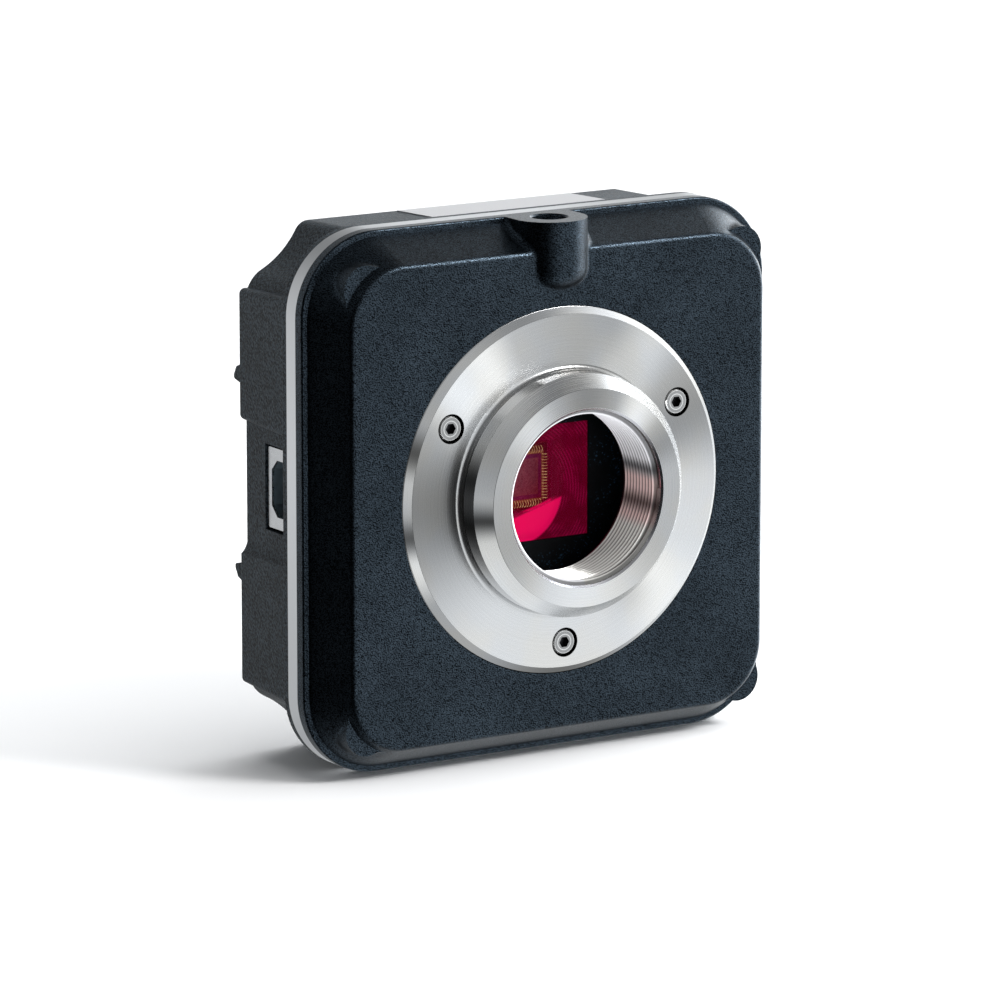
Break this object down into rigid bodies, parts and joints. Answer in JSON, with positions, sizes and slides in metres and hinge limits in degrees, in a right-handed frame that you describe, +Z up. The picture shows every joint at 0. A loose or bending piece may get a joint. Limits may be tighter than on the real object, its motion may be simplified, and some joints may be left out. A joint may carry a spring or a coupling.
{
  "type": "camera",
  "caption": "Square camera body with a round threaded lens mount, a tripod boss on top, a bright trim ring between its housings and a peripheral socket on the left side.",
  "frame": {"origin": "centre of the lens seat, on the lens axis", "axes": "the lens looks along -Y, +Z is up towards the tripod boss and +X is to the right seen from the front"},
  "size_m": [0.08, 0.0371, 0.08],
  "materials": {
    "front_coat": "fine sparkling powder coat, nearly black",
    "rear_coat": "coarse leather grain powder coat, dark blue grey",
    "trim_satin": "satin",
    "mount_steel": "fine turned lines",
    "screw_steel": "satin, bare steel",
    "black_screw": "black oxide",
    "filter_coated": "magenta anti-reflection coating",
    "cover_clear": "clear",
    "holder_black": "moulded, fine grain",
    "foam_black": "closed cell foam",
    "sensor_ceramic": "fired alumina, grey brown",
    "silicon": "purple sheen",
    "board_green": "solder mask over glass fibre laminate",
    "chip_black": "moulded epoxy",
    "part_tan": "glazed",
    "crystal_can": "stamped can",
    "coil_grey": "pressed ferrite",
    "pad_grey": "soft filler",
    "socket_tin": "tin plated sheet",
    "socket_moulding": "moulded, dark",
    "contact_gold": "gold plated",
    "label_white": "satin film"
  },
  "bodies": {
    "root": {"lens_mount": "mount_steel", "mount_screws": "screw_steel", "front_housing": "front_coat", "trim_ring": "trim_satin", "rear_housing": "rear_coat", "housing_screws": "black_screw", "filter_glass": "filter_coated", "filter_holder": "holder_black", "dust_ring": "foam_black", "sensor_seal": "foam_black", "sensor_package": "sensor_ceramic", "sensor_die": "silicon", "sensor_cover": "cover_clear", "circuit_board": "board_green", "board_screws": "screw_steel", "holder_screws": "black_screw", "processor": "chip_black", "memory_chips": "chip_black", "link_chip": "chip_black", "boot_flash": "chip_black", "clock_crystal": "crystal_can", "power_coils": "coil_grey", "voltage_regulators": "chip_black", "rear_capacitors": "part_tan", "front_capacitors": "part_tan", "thermal_pad": "pad_grey", "socket_shell": "socket_tin", "socket_insert": "socket_moulding", "socket_contacts": "contact_gold", "top_label": "label_white"}
  },
  "joints": []
}
